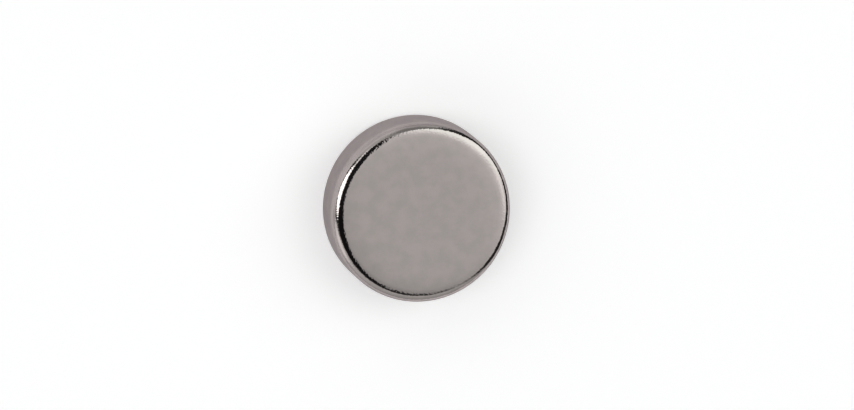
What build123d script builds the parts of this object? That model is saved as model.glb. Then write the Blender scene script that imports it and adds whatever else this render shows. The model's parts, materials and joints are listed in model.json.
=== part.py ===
from build123d import *

import os
from math import cos, radians, sin

# Driving dimensions, in millimetres
diameter = 10.0
thickness = 3.0
corner_radius = 0.5
shoulder_radius = 2.5

# Driving angles, in degrees
shoulder_turn = 8.0
square_turn = 90.0

# Sizes that follow from them
outer_radius = diameter / 2
half_thickness = thickness / 2
shoulder_angle = radians(shoulder_turn)
shoulder_reach = shoulder_radius * sin(shoulder_angle)
corner_reach = corner_radius * (1 - sin(shoulder_angle))
shoulder_drop = shoulder_radius * (1 - cos(shoulder_angle))
corner_drop = corner_radius * cos(shoulder_angle)
face_radius = outer_radius - shoulder_reach - corner_reach
half_wall = half_thickness - shoulder_drop - corner_drop

# The disc lies on its lower pole face: the origin is the middle of that face and +Z is the disc's axis
section_plane = Plane(origin=(0, 0, half_thickness), x_dir=(1, 0, 0), z_dir=(0, -1, 0))

# One sintered, ground, tumbled and plated disc, turned from half of its section
with BuildPart() as disc_magnet:
    with BuildSketch(section_plane):
        with BuildLine():
            # Ground pole face, rolling off in a wide shoulder and a tight tumbled corner to the side wall
            pole_face = Line((0, half_thickness), (face_radius, half_thickness))
            shoulder = JernArc(pole_face @ 1, pole_face % 1, shoulder_radius, -shoulder_turn)
            corner = JernArc(shoulder @ 1, shoulder % 1, corner_radius, shoulder_turn - square_turn)
            # Lower half of the edge, the same as the upper half
            mirror(about=Plane.XZ)
            # Straight side wall between the two corners, and the axis that closes the section
            Line((outer_radius, half_wall), (outer_radius, -half_wall))
            Line((0, -half_thickness), (0, half_thickness))
        make_face()
    revolve(axis=Axis.Z)

disc_magnet.part.label = "disc_magnet"
os.makedirs("parts", exist_ok=True)
export_step(disc_magnet.part, "parts/disc_magnet.step")
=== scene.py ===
import json
import math

import bpy
from mathutils import Matrix, Vector


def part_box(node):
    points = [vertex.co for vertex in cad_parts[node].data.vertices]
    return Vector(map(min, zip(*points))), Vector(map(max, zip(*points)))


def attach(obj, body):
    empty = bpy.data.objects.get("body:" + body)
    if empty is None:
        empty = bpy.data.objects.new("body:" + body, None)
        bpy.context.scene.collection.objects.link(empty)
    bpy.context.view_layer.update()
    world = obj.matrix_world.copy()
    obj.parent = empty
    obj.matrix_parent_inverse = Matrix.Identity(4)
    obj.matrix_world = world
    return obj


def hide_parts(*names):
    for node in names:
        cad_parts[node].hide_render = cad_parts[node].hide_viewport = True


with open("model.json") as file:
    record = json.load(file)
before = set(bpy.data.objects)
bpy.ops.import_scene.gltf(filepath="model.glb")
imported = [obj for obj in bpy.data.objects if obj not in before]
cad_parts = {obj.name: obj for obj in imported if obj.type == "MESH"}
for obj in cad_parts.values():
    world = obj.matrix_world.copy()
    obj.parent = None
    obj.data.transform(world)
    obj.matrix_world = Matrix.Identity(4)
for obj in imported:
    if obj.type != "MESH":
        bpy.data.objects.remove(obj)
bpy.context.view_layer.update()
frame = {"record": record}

scene = bpy.context.scene
mm = 0.001


def put(tree, kind, values=None, **settings):
    node = tree.nodes.new(kind)
    for name, value in settings.items():
        setattr(node, name, value)
    for name, value in (values or {}).items():
        if isinstance(value, bpy.types.NodeSocket):
            tree.links.new(value, node.inputs[name])
        else:
            node.inputs[name].default_value = value
    return node


def calc(tree, operation, first, second=None, third=None):
    given = {place: value for place, value in enumerate((first, second, third)) if value is not None}
    return put(tree, "ShaderNodeMath", given, operation=operation).outputs[0]


def mix(tree, kind, share, first, second, blend="MIX"):
    # the Mix node keeps the two inputs and the output of each kind in its own places
    one, other, result = {"FLOAT": (2, 3, 0), "RGBA": (6, 7, 2)}[kind]
    ends = {0: share, one: first, other: second}
    return put(tree, "ShaderNodeMix", ends, data_type=kind, blend_type=blend).outputs[result]


def ramp(tree, value, start, end, low=0.0, high=1.0, kind="LINEAR"):
    return put(tree, "ShaderNodeMapRange", {
        "Value": value,
        "From Min": start,
        "From Max": end,
        "To Min": low,
        "To Max": high,
    }, interpolation_type=kind).outputs[0]


# The disc: one turned piece with ground faces and tumbled edges (millimetres and degrees)
disc = {
    "node": "disc_magnet",
    "cornerRadius": 0.5,
    "shoulderRadius": 2.5,
    "shoulderTurn": 8.0,
    "rimRadius": 0.42,      # the corner is a little tighter on its way into the side wall
    "rimTurn": 45.0,
    "turnSteps": 384,       # steps round the axis
    "shoulderSteps": 10,
    "cornerSteps": 12,
    "longestStep": 0.25,    # on the faces and the side wall
    "dubStart": 3.3,        # the grinding left a very slight crown outside this radius
    "dubBend": 16.0,        # radius of the crown's curve
    "waveHeight": 0.0015,   # the plated skin is not dead flat
    "waveLength": 0.9,
    "waveDetail": 1.0,
    "waveSeed": 7.0,
    "seamGap": 0.0001,      # points closer than this are joined
}


def discSizes():
    wall = next(mount for mount in frame["record"]["mounts"] if mount["name"] == "side_wall")
    low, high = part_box(disc["node"])
    return {
        "Outer Radius": wall["dims"]["r_mm"] * mm,
        "Thickness": high.z - low.z,
        "Corner Radius": disc["cornerRadius"] * mm,
        "Shoulder Radius": disc["shoulderRadius"] * mm,
        "Shoulder Turn": math.radians(disc["shoulderTurn"]),
        "Rim Radius": disc["rimRadius"] * mm,
        "Rim Turn": math.radians(disc["rimTurn"]),
        "Longest Step": disc["longestStep"] * mm,
        "Dub Start": disc["dubStart"] * mm,
        "Dub Bend": disc["dubBend"] * mm,
        "Wave Height": disc["waveHeight"] * mm,
        "Wave Length": disc["waveLength"] * mm,
        "Wave Detail": disc["waveDetail"],
        "Wave Seed": disc["waveSeed"],
        "Seam Gap": disc["seamGap"] * mm,
        "Turn Steps": disc["turnSteps"],
        "Shoulder Steps": disc["shoulderSteps"],
        "Corner Steps": disc["cornerSteps"],
    }


def chooseByIndex(tree, kind, index, choices):
    node = put(tree, "GeometryNodeIndexSwitch", data_type=kind)
    while len(node.index_switch_items) < len(choices):
        node.index_switch_items.new()
    tree.links.new(index, node.inputs["Index"])
    for place, choice in enumerate(choices):
        if isinstance(choice, bpy.types.NodeSocket):
            tree.links.new(choice, node.inputs[str(place)])
        else:
            node.inputs[str(place)].default_value = choice
    return node.outputs[0]


def discTree(sizes):
    tree = bpy.data.node_groups.new("turnedDisc", "GeometryNodeTree")
    for name, value in sizes.items():
        kind = "NodeSocketInt" if isinstance(value, int) else "NodeSocketFloat"
        tree.interface.new_socket(name=name, in_out="INPUT", socket_type=kind)
    tree.interface.new_socket(name="Plate", in_out="INPUT", socket_type="NodeSocketMaterial")
    tree.interface.new_socket(name="Geometry", in_out="OUTPUT", socket_type="NodeSocketGeometry")
    given = put(tree, "NodeGroupInput").outputs

    # half section as eight points, from the middle of the upper face to the middle of the lower one
    def leg(radius, start, end):   # how far an arc reaches along the straight run that it rounds off
        half = calc(tree, "MULTIPLY", calc(tree, "SUBTRACT", end, start), 0.5)
        return calc(tree, "MULTIPLY", radius, calc(tree, "TANGENT", half))

    first, second = given["Shoulder Turn"], given["Rim Turn"]
    cornerLeg = leg(given["Corner Radius"], first, second)
    upper = calc(tree, "ADD", leg(given["Shoulder Radius"], 0.0, first), cornerLeg)
    lower = calc(tree, "ADD", cornerLeg, leg(given["Rim Radius"], second, math.pi / 2))
    lowerReach = calc(tree, "MULTIPLY", lower, calc(tree, "COSINE", second))
    upperReach = calc(tree, "MULTIPLY", upper, calc(tree, "COSINE", first))
    slopeRadius = calc(tree, "SUBTRACT", given["Outer Radius"], lowerReach)
    meetRadius = calc(tree, "SUBTRACT", slopeRadius, upperReach)
    slopeDrop = calc(tree, "MULTIPLY", upper, calc(tree, "SINE", first))
    wallDrop = calc(tree, "ADD", slopeDrop, calc(tree, "MULTIPLY", lower, calc(tree, "SINE", second)))

    def at(radius, height):
        return put(tree, "ShaderNodeCombineXYZ", {"X": radius, "Z": height}).outputs[0]

    corners = [
        at(0.0, given["Thickness"]),
        at(meetRadius, given["Thickness"]),
        at(slopeRadius, calc(tree, "SUBTRACT", given["Thickness"], slopeDrop)),
        at(given["Outer Radius"], calc(tree, "SUBTRACT", given["Thickness"], wallDrop)),
        at(given["Outer Radius"], wallDrop),
        at(slopeRadius, slopeDrop),
        at(meetRadius, 0.0),
        at(0.0, 0.0),
    ]
    index = put(tree, "GeometryNodeInputIndex").outputs[0]
    line = put(tree, "GeometryNodeMeshLine", {"Count": len(corners)})
    path = put(tree, "GeometryNodeMeshToCurve", {"Mesh": line.outputs[0]})
    place = chooseByIndex(tree, "VECTOR", index, corners)
    path = put(tree, "GeometryNodeSetPosition", {"Geometry": path.outputs[0], "Position": place})

    # the three tangent arcs of the tumbled edge, then even steps on the long straight runs
    bends = [0.0, given["Shoulder Radius"], given["Corner Radius"], given["Rim Radius"]]
    counts = [1, given["Shoulder Steps"], given["Corner Steps"], given["Corner Steps"]]
    bend = chooseByIndex(tree, "FLOAT", index, bends + bends[::-1])
    steps = chooseByIndex(tree, "INT", index, counts + counts[::-1])
    path = put(tree, "GeometryNodeFilletCurve", {"Curve": path.outputs[0]}, mode="POLY")
    tree.links.new(bend, path.inputs["Radius"])
    tree.links.new(steps, path.inputs["Count"])
    position = put(tree, "GeometryNodeInputPosition").outputs[0]
    following = put(tree, "GeometryNodeFieldAtIndex", data_type="FLOAT_VECTOR", domain="POINT")
    tree.links.new(position, following.inputs["Value"])
    tree.links.new(calc(tree, "ADD", index, 1.0), following.inputs["Index"])
    run = put(tree, "ShaderNodeVectorMath", {0: position, 1: following.outputs[0]}, operation="DISTANCE")
    cuts = calc(tree, "FLOOR", calc(tree, "DIVIDE", run.outputs["Value"], given["Longest Step"]))
    section = put(tree, "GeometryNodeSubdivideCurve", {"Curve": path.outputs[0], "Cuts": cuts}).outputs[0]

    # turn the section round the axis on a flat grid, and close the seam and the two poles
    counted = put(tree, "GeometryNodeAttributeDomainSize", {"Geometry": section}, component="CURVE")
    rows = counted.outputs["Point Count"]
    columns = calc(tree, "ADD", given["Turn Steps"], 1.0)
    grid = put(tree, "GeometryNodeMeshGrid", {
        "Size X": 1.0,
        "Size Y": 1.0,
        "Vertices X": columns,
        "Vertices Y": rows,
    }).outputs[0]
    spread = put(tree, "ShaderNodeSeparateXYZ", {0: position}).outputs
    lastRow = calc(tree, "SUBTRACT", rows, 1.0)
    row = calc(tree, "ROUND", calc(tree, "MULTIPLY", calc(tree, "ADD", spread["Y"], 0.5), lastRow))
    angle = calc(tree, "MULTIPLY", spread["X"], 2 * math.pi)
    sample = put(tree, "GeometryNodeSampleIndex", data_type="FLOAT_VECTOR", domain="POINT")
    tree.links.new(section, sample.inputs["Geometry"])
    tree.links.new(position, sample.inputs["Value"])
    tree.links.new(row, sample.inputs["Index"])
    turned = put(tree, "ShaderNodeVectorRotate", {"Vector": sample.outputs[0], "Angle": angle},
                 rotation_type="Z_AXIS").outputs[0]
    shape = put(tree, "GeometryNodeSetPosition", {"Geometry": grid, "Position": turned}).outputs[0]
    shape = put(tree, "GeometryNodeMergeByDistance", {"Geometry": shape, "Distance": given["Seam Gap"]})
    shape = put(tree, "GeometryNodeFlipFaces", {0: shape.outputs[0]})   # so that they look outwards

    # how far the surface has turned from a pole face: 0 on a face, 1 on the side wall
    normal = put(tree, "GeometryNodeInputNormal").outputs[0]
    upright = put(tree, "ShaderNodeSeparateXYZ", {0: normal}).outputs["Z"]
    level = calc(tree, "MINIMUM", calc(tree, "ABSOLUTE", upright), 1.0)
    turn = calc(tree, "DIVIDE", calc(tree, "ARCCOSINE", level), math.pi / 2)
    shape = put(tree, "GeometryNodeStoreNamedAttribute", {"Geometry": shape.outputs[0], "Name": "edgeTurn"},
                data_type="FLOAT", domain="POINT")
    tree.links.new(turn, shape.inputs["Value"])

    # the slight crown: outside the start the faces sink on a parabola, by a few hundredths of a millimetre
    around = put(tree, "ShaderNodeSeparateXYZ", {0: position}).outputs
    flatPlace = put(tree, "ShaderNodeCombineXYZ", {"X": around["X"], "Y": around["Y"]}).outputs[0]
    radius = put(tree, "ShaderNodeVectorMath", {0: flatPlace}, operation="LENGTH").outputs["Value"]
    outside = calc(tree, "MAXIMUM", calc(tree, "SUBTRACT", radius, given["Dub Start"]), 0.0)
    sunk = calc(tree, "DIVIDE", calc(tree, "MULTIPLY", outside, outside), given["Dub Bend"])
    middle = calc(tree, "MULTIPLY", given["Thickness"], 0.5)
    upOrDown = calc(tree, "SUBTRACT", calc(tree, "DIVIDE", around["Z"], middle), 1.0)   # 1 above, -1 below
    down = calc(tree, "MULTIPLY", calc(tree, "MULTIPLY", sunk, upOrDown), -0.5)
    shape = put(tree, "GeometryNodeSetPosition", {"Geometry": shape.outputs[0], "Offset": at(0.0, down)})

    # shallow waves left by grinding, tumbling and plating
    waves = put(tree, "ShaderNodeTexNoise", {
        "Vector": position,
        "W": given["Wave Seed"],
        "Scale": calc(tree, "DIVIDE", 1.0, given["Wave Length"]),
        "Detail": given["Wave Detail"],
    }, noise_dimensions="4D")
    swing = calc(tree, "SUBTRACT", waves.outputs[0], 0.5)
    height = calc(tree, "MULTIPLY", calc(tree, "MULTIPLY", swing, 2.0), given["Wave Height"])
    wave = put(tree, "ShaderNodeVectorMath", {0: normal, "Scale": height}, operation="SCALE")
    shape = put(tree, "GeometryNodeSetPosition", {"Geometry": shape.outputs[0], "Offset": wave.outputs[0]})

    shape = put(tree, "GeometryNodeSetShadeSmooth", {"Geometry": shape.outputs[0]})
    shape = put(tree, "GeometryNodeRealizeInstances", {"Geometry": shape.outputs[0]})
    shape = put(tree, "GeometryNodeSetMaterial", {"Geometry": shape.outputs[0], "Material": given["Plate"]})
    put(tree, "NodeGroupOutput", {"Geometry": shape.outputs[0]})
    return tree


# Nickel plate: warm grey metal with faint clouds and a fine grain on the edges (millimetres)
plate = {
    "rosyTone": (0.525, 0.474, 0.456, 1.0),
    "greenTone": (0.482, 0.442, 0.424, 1.0),
    "paintedSideShade": (0.835, 0.81, 0.84, 1.0),    # painted shade: share of the tone that the corner's end and the side wall keep, which darkens the floor they mirror
    "rimTint": (0.52, 0.505, 0.515, 1.0),    # the plate turns dull at a glancing look
    "cloudSize": 0.75,
    "cloudDetail": 3.0,
    "cloudRange": (0.35, 0.65),    # the noise's own values between which the tone changes
    "smoothest": 0.03,
    "roughest": 0.06,
    "hazeSize": 0.35,
    "hazeDetail": 2.0,
    "hazeRange": (0.3, 0.7),
    "sideRough": 0.45,
    "grainSize": 0.09,
    "grainHeight": 0.0037,
    "faceGrain": 0.05,             # share of the grain that the ground faces keep
    # from where to where on the edge each change comes in: 0 is a face, 1 is the side wall
    "grainFromTo": (0.01, 0.065),
    # where the painted shade of the side comes in
    "sideShadeFromTo": (0.32, 0.46),
    "satinFromTo": (0.43, 0.6),
}


def nickelPlate():
    material = bpy.data.materials.new("nickelPlate")
    material.use_nodes = True
    tree = material.node_tree
    shader = tree.nodes["Principled BSDF"]
    shader.inputs["Metallic"].default_value = 1.0
    shader.inputs["Specular Tint"].default_value = plate["rimTint"]
    where = put(tree, "ShaderNodeTexCoord").outputs["Object"]
    edge = put(tree, "ShaderNodeAttribute", attribute_name="edgeTurn").outputs["Fac"]

    def specks(size, detail):
        settings = {"Vector": where, "Scale": 1 / (size * mm), "Detail": detail}
        return put(tree, "ShaderNodeTexNoise", settings).outputs[0]

    # faint clouds in the tone, and painted shade that darkens the side
    clouds = ramp(tree, specks(plate["cloudSize"], plate["cloudDetail"]), *plate["cloudRange"])
    tone = mix(tree, "RGBA", clouds, plate["greenTone"], plate["rosyTone"])
    # painted shade: the tone darkens from the corner's end onto the side wall
    sideShade = ramp(tree, edge, *plate["sideShadeFromTo"], kind="SMOOTHSTEP")
    tone = mix(tree, "RGBA", sideShade, tone, plate["paintedSideShade"], blend="MULTIPLY")
    tree.links.new(tone, shader.inputs["Base Color"])

    # uneven gloss, satin on the side
    haze = specks(plate["hazeSize"], plate["hazeDetail"])
    gloss = ramp(tree, haze, *plate["hazeRange"], low=plate["smoothest"], high=plate["roughest"])
    satin = ramp(tree, edge, *plate["satinFromTo"], kind="SMOOTHSTEP")
    roughness = mix(tree, "FLOAT", satin, gloss, plate["sideRough"])
    tree.links.new(roughness, shader.inputs["Roughness"])

    # fine grain, strongest where the tumbling rounded the edge
    grain = specks(plate["grainSize"], 0.0)
    strength = ramp(tree, edge, *plate["grainFromTo"], low=plate["faceGrain"])
    bump = put(tree, "ShaderNodeBump", {
        "Height": grain,
        "Strength": strength,
        "Distance": plate["grainHeight"] * mm,
    })
    tree.links.new(bump.outputs[0], shader.inputs["Normal"])
    return material


def makeDisc(material):
    sizes = discSizes()
    tree = discTree(sizes)
    piece = bpy.data.objects.new("platedDisc", bpy.data.meshes.new("platedDisc"))
    scene.collection.objects.link(piece)
    turning = piece.modifiers.new("turnedDisc", "NODES")
    turning.node_group = tree
    sizes["Plate"] = material
    for socket in tree.interface.items_tree:
        if socket.in_out == "INPUT":
            turning[socket.identifier] = sizes[socket.name]
    graph = bpy.context.evaluated_depsgraph_get()
    turned = piece.evaluated_get(graph)
    mesh = bpy.data.meshes.new_from_object(turned, preserve_all_data_layers=True, depsgraph=graph)
    piece.modifiers.remove(turning)
    piece.data = mesh
    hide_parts(disc["node"])
    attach(piece, "root")
    print("disc turned:", len(mesh.vertices), "points,", len(mesh.polygons), "faces")


# White table that the disc lies on (metres)
table = {"reach": 1.0, "tone": (0.95, 0.95, 0.95, 1.0), "glow": 0.285}


def makeTable():
    reach = table["reach"]
    mesh = bpy.data.meshes.new("paleTable")
    corners = [(-reach, -reach, 0), (reach, -reach, 0), (reach, reach, 0), (-reach, reach, 0)]
    mesh.from_pydata(corners, [], [(0, 1, 2, 3)])
    top = bpy.data.objects.new("paleTable", mesh)
    scene.collection.objects.link(top)
    material = bpy.data.materials.new("paleTable")
    material.use_nodes = True
    tree = material.node_tree
    tree.nodes.clear()
    matt = put(tree, "ShaderNodeBsdfDiffuse", {"Color": table["tone"]})
    # a little glow lifts the table to white for the camera and for what mirrors it
    rays = put(tree, "ShaderNodeLightPath").outputs
    seen = calc(tree, "MAXIMUM", rays["Is Camera Ray"], rays["Is Glossy Ray"])
    seen = calc(tree, "MAXIMUM", seen, rays["Is Transmission Ray"])
    glow = put(tree, "ShaderNodeEmission", {"Strength": calc(tree, "MULTIPLY", seen, table["glow"])})
    both = put(tree, "ShaderNodeAddShader", {0: matt.outputs[0], 1: glow.outputs[0]})
    put(tree, "ShaderNodeOutputMaterial", {"Surface": both.outputs[0]})
    mesh.materials.append(material)
    print("table laid")


# The studio as a sky chart seen from the disc: degrees to the right and up from straight overhead
studio = {
    "wallTone": 0.62,
    # name, right, up, half width, half height, corner power, turn, soft rim, tone
    # a later patch covers the earlier ones
    "patches": [
        ("lowWall", 38, -78, 56, 30, 2, 0, 0.4, 0.46),
        ("topWall", -15, 88, 80, 32, 2, 0, 0.4, 0.57),
        ("upperLeft", -31, 60, 30, 16, 2, 25, 0.5, 0.85),
        ("rightDark", 60, 15, 46, 50, 2, 0, 0.1, 0.03),
        ("lowRightDark", 57, -38, 33, 12, 2, -15, 0.3, 0.03),
        ("belowDark", 3, -32.6, 19, 6.6, 2, 0, 0.5, 0.06),
        ("leftDark", -3.5, -14, 28, 18.5, 2, -8, 0.25, 0.01),
        ("highLeft", 9, 36, 16, 18, 2, 0, 0.5, 0.29),
        ("farLeft", -70, 27, 27, 34, 2, 0, 0.4, 0.94),
        ("cardFrame", -36.5, 2, 21, 25.5, 2, -12, 0.15, 0.04),
        ("whiteCard", -32.7, 3.1, 18.6, 14.1, 2, -3, 0.1, 2.6),
        ("cardTip", -14.8, 15.8, 6, 5, 2, 45, 0.5, 1.3),
        ("leftLow", -52, -35, 19, 17, 2, 0, 0.5, 1.15),
        ("panel", 34.9, 3.7, 44.4, 29.9, 1.65, 42, 0.03, None),   # toned below
        ("lensDark", -5.2, 2.5, 7.4, 12, 2, -20, 0.1, 0.015),
        ("lensTop", -5, 15, 5.5, 5.5, 2, -20, 0.35, 0.03),
        ("sideGlow", 41, -3, 9, 9, 2, 10, 0.6, 1.35),
        ("tipDark", 87, 39, 23, 28, 2, 0, 0.06, 0.02),
        ("rightEnd", 118, 8, 50, 50, 2, 0, 0.06, 0.02),
    ],
    # the big panel brightens evenly from its lower left, and a softbox shines through its upper right
    "panelHeading": 57.0,
    "panelStart": (12.1, -10.8),
    "panelTone": 0.68,
    "panelRise": 0.016,     # per degree
    "panelLow": 0.45,
    "panelHigh": 1.05,
    "softbox": (46.5, 32.3, 42.7, 28.8, 2, 10, 0.22),
    "softboxTone": 1.645,
    "plainTint": (1.0, 1.0, 1.0, 1.0),
    "softboxTint": (0.955, 1.0, 0.975, 1.0),
}


# 1 inside a patch of the chart, 0 outside it
def cover(tree, chart, right, up, halfWidth, halfHeight, power, turn, rim):
    spot = put(tree, "ShaderNodeMapping", {
        "Vector": chart,
        "Location": (math.radians(right), math.radians(up), 0),
        "Rotation": (0, 0, math.radians(turn)),
        "Scale": (math.radians(halfWidth), math.radians(halfHeight), 1),
    }, vector_type="TEXTURE").outputs[0]
    side = put(tree, "ShaderNodeVectorMath", {0: spot}, operation="ABSOLUTE").outputs[0]
    side = put(tree, "ShaderNodeSeparateXYZ", {0: side}).outputs
    powers = [calc(tree, "POWER", side[axis], float(power)) for axis in ("X", "Y")]
    off = calc(tree, "POWER", calc(tree, "ADD", *powers), 1 / power)
    return ramp(tree, off, 1 - rim, 1 + rim, low=1.0, high=0.0, kind="SMOOTHSTEP")


def lightStudio():
    world = bpy.data.worlds.new("studio")
    scene.world = world
    world.use_nodes = True
    tree = world.node_tree
    tree.nodes.clear()
    ray = put(tree, "ShaderNodeTexCoord").outputs["Generated"]
    part = put(tree, "ShaderNodeSeparateXYZ", {0: ray}).outputs
    tilt = calc(tree, "ARCCOSINE", part["Z"])
    flat = put(tree, "ShaderNodeCombineXYZ", {"X": part["X"], "Y": part["Y"]}).outputs[0]
    heading = put(tree, "ShaderNodeVectorMath", {0: flat}, operation="NORMALIZE").outputs[0]
    chart = put(tree, "ShaderNodeVectorMath", {0: heading, "Scale": tilt}, operation="SCALE").outputs[0]

    # brightness across the panel
    along = put(tree, "ShaderNodeMapping", {
        "Vector": chart,
        "Location": tuple(math.radians(side) for side in studio["panelStart"]) + (0,),
        "Rotation": (0, 0, math.radians(studio["panelHeading"])),
    }, vector_type="TEXTURE").outputs[0]
    along = put(tree, "ShaderNodeSeparateXYZ", {0: along}).outputs["X"]
    panelTone = calc(tree, "MULTIPLY_ADD", along, math.degrees(studio["panelRise"]), studio["panelTone"])
    panelTone = calc(tree, "MAXIMUM", panelTone, studio["panelLow"])
    panelTone = calc(tree, "MINIMUM", panelTone, studio["panelHigh"])
    shine = cover(tree, chart, *studio["softbox"])
    panelTone = mix(tree, "FLOAT", shine, panelTone, studio["softboxTone"])

    tone = studio["wallTone"]
    for name, *place, patchTone in studio["patches"]:
        inside = cover(tree, chart, *place)
        tone = mix(tree, "FLOAT", inside, tone, panelTone if name == "panel" else patchTone)
    tint = mix(tree, "RGBA", shine, studio["plainTint"], studio["softboxTint"])
    glow = put(tree, "ShaderNodeBackground", {"Color": tint, "Strength": tone})
    put(tree, "ShaderNodeOutputWorld", {"Surface": glow.outputs[0]})
    print("studio lit:", len(studio["patches"]), "patches")


# Camera over the disc: degrees, millimetres and pixels of the 854 by 410 picture
camera = {
    "lean": 16.2,            # off the disc's axis
    "leanSide": 138.2,       # heading of the lean, from +X towards +Y
    "distance": 600.0,
    "pictureWidth": 854,
    "pictureHeight": 410,
    "discRight": 416.4,      # where the middle of the disc falls in the picture
    "discDown": 208.25,
    "pixelsPerMm": 18.33,
    "sensorWidth": 36.0,
    "nearest": 10.0,         # what is nearer or further than these is not drawn
    "furthest": 10000.0,
}


def makeCamera():
    lean, side = math.radians(camera["lean"]), math.radians(camera["leanSide"])
    back = Vector((math.sin(lean) * math.cos(side), math.sin(lean) * math.sin(side), math.cos(lean)))
    up = (Vector((0, 1, 0)) - back * back.y).normalized()
    right = up.cross(back)
    low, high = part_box(disc["node"])
    middle = (low + high) / 2
    offRight = (camera["pictureWidth"] / 2 - camera["discRight"]) / camera["pixelsPerMm"] * mm
    offUp = (camera["discDown"] - camera["pictureHeight"] / 2) / camera["pixelsPerMm"] * mm
    spot = middle + right * offRight + up * offUp + back * camera["distance"] * mm
    lens = bpy.data.cameras.new("overDisc")
    lens.sensor_width = camera["sensorWidth"]
    lens.lens = camera["pixelsPerMm"] * camera["distance"] * lens.sensor_width / camera["pictureWidth"]
    lens.clip_start = camera["nearest"] * mm
    lens.clip_end = camera["furthest"] * mm
    stand = bpy.data.objects.new("overDisc", lens)
    stand.matrix_world = Matrix((
        (right.x, up.x, back.x, spot.x),
        (right.y, up.y, back.y, spot.y),
        (right.z, up.z, back.z, spot.z),
        (0, 0, 0, 1),
    ))
    scene.collection.objects.link(stand)
    scene.camera = stand
    print("camera set, lens", round(lens.lens, 1))


makeDisc(nickelPlate())
makeTable()
lightStudio()
makeCamera()
scene.view_settings.view_transform = "Standard"
